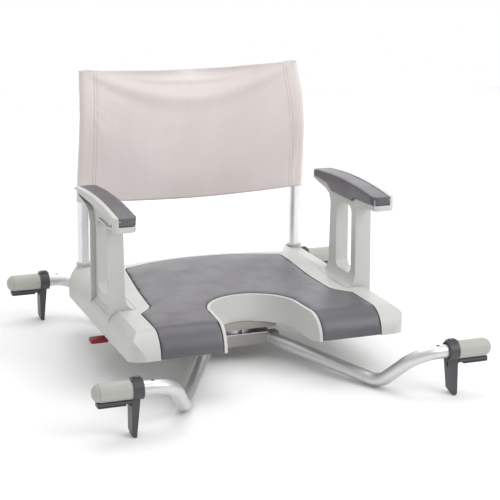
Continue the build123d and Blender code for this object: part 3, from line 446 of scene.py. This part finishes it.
# The hem's points: how far inwards of the post each lies, and how far behind the panel's face.
HEM = ((0.016, 0.0035 + SHEET_T), (0.006, 0.0055), (0.001, 0.0130))
POST_W = 0.024                    # the oval post's section, along X
POST_D = 0.018                    # and along Y
POST_X = 0.224                    # about where the right post stands
POST_PROBE_TOP = 0.5295           # just under its top
RIGHT_OF_POST = 0.4               # where the rays start
BEHIND_POST = 0.5
OUT = 0.0013                      # sheet's middle, from the post's face
SAG = 0.013                       # of the panel's middle, backwards
SAG_POWER = 0.9
sling_low, sling_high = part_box("back_sling")
post_tree = tree_of(frame["nodes"]["back_post_right"])


def post_centre(z):
    """Centre of the right post at a height, from its faces met along X and Y."""
    z = min(z, POST_PROBE_TOP)
    x = POST_X
    for _ in range(3):
        near = post_tree.ray_cast(Vector((x, 0.0, z)), Vector((0, 1, 0)))[0]
        far = post_tree.ray_cast(Vector((x, BEHIND_POST, z)), Vector((0, -1, 0)))[0]
        y = (near.y + far.y) / 2
        right = post_tree.ray_cast(Vector((RIGHT_OF_POST, y, z)), Vector((-1, 0, 0)))[0]
        left = post_tree.ray_cast(Vector((0.0, y, z)), Vector((1, 0, 0)))[0]
        x = (right.x + left.x) / 2
    return x, y


def half_course(z):
    """Sheet's points round the right post at one height, from the hem to the panel's edge."""
    x, y = post_centre(z)
    r = POST_D / 2 + OUT
    straight = (POST_W - POST_D) / 2
    inner = x - POST_W / 2
    points = [(inner - inwards, y - r + behind) for inwards, behind in HEM]
    points.append((x - straight, y + r))
    for k in range(WRAP_COLUMNS + 1):
        turn = math.radians(90 - 180 * k / WRAP_COLUMNS)
        points.append((x + straight + r * math.cos(turn), y + r * math.sin(turn)))
    points.append((x - straight, y - r))
    return points


def panel_course(edge):
    """Panel between the posts at one height, sagging backwards from edge to edge."""
    edge_x, edge_y = edge
    points = []
    for k in range(1, PANEL_COLUMNS):
        x = edge_x * (1 - 2 * k / PANEL_COLUMNS)
        share = 1 - (x / edge_x) ** 2
        points.append((x, edge_y + SAG * share ** SAG_POWER))
    return points


def back_grid():
    """Rows of the sheet's points, and how many of each row's points go round one post."""
    height = sling_high.z - sling_low.z - 2 * TRIM
    rows = []
    for i in range(ROWS + 1):
        z = sling_low.z + TRIM + height * i / ROWS
        right = half_course(z)
        left = [(-x, y) for x, y in reversed(right)]
        rows.append([(x, y, z) for x, y in right + panel_course(right[-1]) + left])
    return rows, len(right)


def settle_cloth(obj, held_points):
    """Let the panel hang a little between the points that the posts hold."""
    held = obj.vertex_groups.new(name="held")
    held.add(held_points, 1.0, "REPLACE")
    cloth = obj.modifiers.new("cloth", "CLOTH")
    cloth.settings.quality = 5
    cloth.settings.mass = 0.2
    cloth.settings.tension_stiffness = 25
    cloth.settings.compression_stiffness = 25
    cloth.settings.bending_stiffness = 1.0
    cloth.settings.vertex_group_mass = "held"
    cloth.settings.effector_weights.gravity = 0.15
    cloth.collision_settings.use_collision = False
    run_cloth(obj, cloth)


def fabric_back():
    """Sheet round both posts and across the panel, hung, then given its thickness."""
    grid, wrap_count = back_grid()
    columns = len(grid[0])
    verts = [p for row in grid for p in row]
    faces = [(i * columns + k, i * columns + k + 1, (i + 1) * columns + k + 1, (i + 1) * columns + k)
             for i in range(ROWS) for k in range(columns - 1)]
    sheet = piece_from("back_fabric", verts, faces, looks["fabric"])
    shade_smooth(sheet)
    settle_cloth(sheet, [i * columns + k for i in range(ROWS + 1) for k in range(columns)
                         if k < wrap_count or k >= columns - wrap_count])
    thick = sheet.modifiers.new("thick", "SOLIDIFY")
    thick.thickness = SHEET_T
    thick.offset = 0
    apply_modifiers(sheet)
    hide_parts("back_sling")
    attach(sheet, "backrest")
    return sheet


# ---------------------------------------------------------------- pocket seams
SEAM_OFFSETS = (0.002, 0.008)     # from the post's inner edge towards the middle
STITCH_LEN = 0.0034
STITCH_PITCH = 0.0050
STITCH_HALF_W = 0.00055
STITCH_PROUD = 0.0004
STITCH_SHOULDER = 0.3             # of the length, from a stitch's middle to where it starts to narrow
SLOPE_STEP = 0.002                # up the cloth, to find the way that a stitch runs
BEAD_SIDES = 6


def bead(at, along, out):
    """Points and faces of one stitch: a short thread, pointed at both ends, half sunk in the cloth."""
    side = along.cross(out).normalized()
    points = [at - along * STITCH_LEN / 2]
    for place in (-STITCH_SHOULDER, STITCH_SHOULDER):
        for k in range(BEAD_SIDES):
            turn = 2 * math.pi * k / BEAD_SIDES
            points.append(at + along * STITCH_LEN * place + side * STITCH_HALF_W * math.cos(turn)
                          + out * STITCH_PROUD * math.sin(turn))
    points.append(at + along * STITCH_LEN / 2)
    last = len(points) - 1
    faces = []
    for k in range(BEAD_SIDES):
        here = 1 + k
        there = 1 + (k + 1) % BEAD_SIDES
        faces += [(0, there, here), (here, there, there + BEAD_SIDES, here + BEAD_SIDES),
                  (last, here + BEAD_SIDES, there + BEAD_SIDES)]
    return points, faces


def stitch(cloth_tree, x, z):
    """One stitch on the front of the cloth, along its slope."""
    at, out = cloth_tree.ray_cast(Vector((x, 0.0, z)), Vector((0, 1, 0)))[:2]
    above = cloth_tree.ray_cast(Vector((at.x, 0.0, z + SLOPE_STEP)), Vector((0, 1, 0)))[0]
    along = (above - at).normalized() if above else Vector((0, 0, 1))
    return bead(at, along, out if out.y < 0 else -out)


def pocket_seams(sheet):
    """Two rows of stitches beside each post, on the front of the sheet."""
    cloth_tree = tree_of(sheet)
    points = []
    faces = []
    count = int((sling_high.z - sling_low.z) / STITCH_PITCH) - 1
    for k in range(count):
        z = sling_low.z + STITCH_PITCH * (k + 1)
        inner = post_centre(z)[0] - POST_W / 2
        for side in (-1, 1):
            for offset in SEAM_OFFSETS:
                new_points, new_faces = stitch(cloth_tree, side * (inner - offset), z)
                faces += [tuple(i + len(points) for i in face) for face in new_faces]
                points += new_points
    seams = piece_from("back_seams", points, faces, thread)
    shade_smooth(seams)
    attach(seams, "backrest")


pocket_seams(fabric_back())


# ---------------------------------------------------------------- floor
FLOOR_HALF = 3.0


def pale_floor():
    """Near-white floor that catches the shadows."""
    pale = Nodes("pale_floor")
    pale.link(pale.mix(pale.span(pale.noise(2, 3), 0, 1), (0.95, 0.95, 0.95), (0.93, 0.93, 0.93)),
              pale.shader.inputs["Base Color"])
    pale.shader.inputs["Roughness"].default_value = 0.9
    corners = [(x * FLOOR_HALF, y * FLOOR_HALF, 0) for x, y in ((-1, -1), (1, -1), (1, 1), (-1, 1))]
    floor = piece_from("floor", corners, [(0, 1, 2, 3)], pale.material)


pale_floor()
